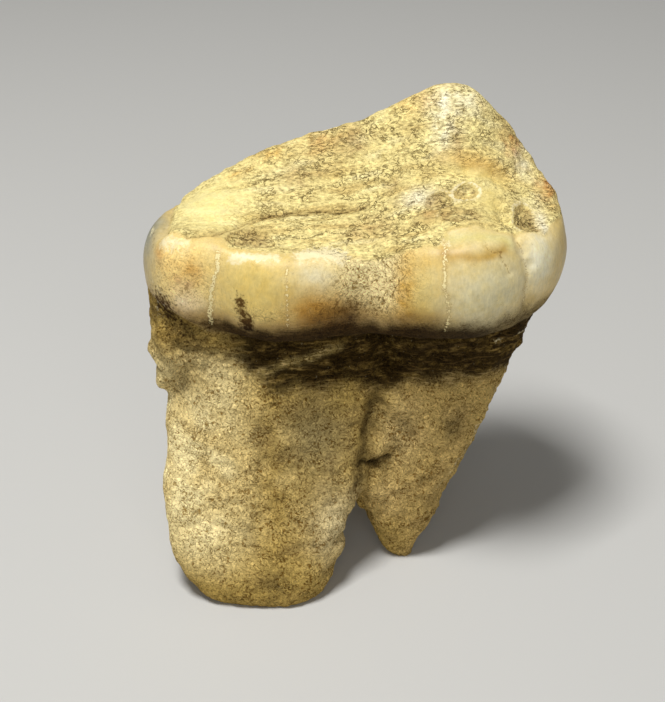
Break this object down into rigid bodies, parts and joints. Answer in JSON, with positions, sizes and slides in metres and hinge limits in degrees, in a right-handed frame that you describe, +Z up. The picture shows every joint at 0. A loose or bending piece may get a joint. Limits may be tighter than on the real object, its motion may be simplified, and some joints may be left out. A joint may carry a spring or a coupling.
{
  "type": "cave bear tooth",
  "caption": "Fossil cheek tooth of a cave bear: a long worn enamel crown with a tall front cusp, standing on a broad blade root and slimmer pointed roots.",
  "frame": {"origin": "centre of the tooth's footprint on the surface that it stands on, below the middle of its box", "axes": "+X along the crown towards its front end with the tall cusp, +Y towards the cheek side, +Z up from the root tips to the chewing surface"},
  "size_m": [0.0462, 0.0302, 0.0523],
  "materials": {
    "tooth": "worn glossy enamel over rough ochre root"
  },
  "bodies": {
    "root": {"tooth": "tooth"}
  },
  "joints": []
}
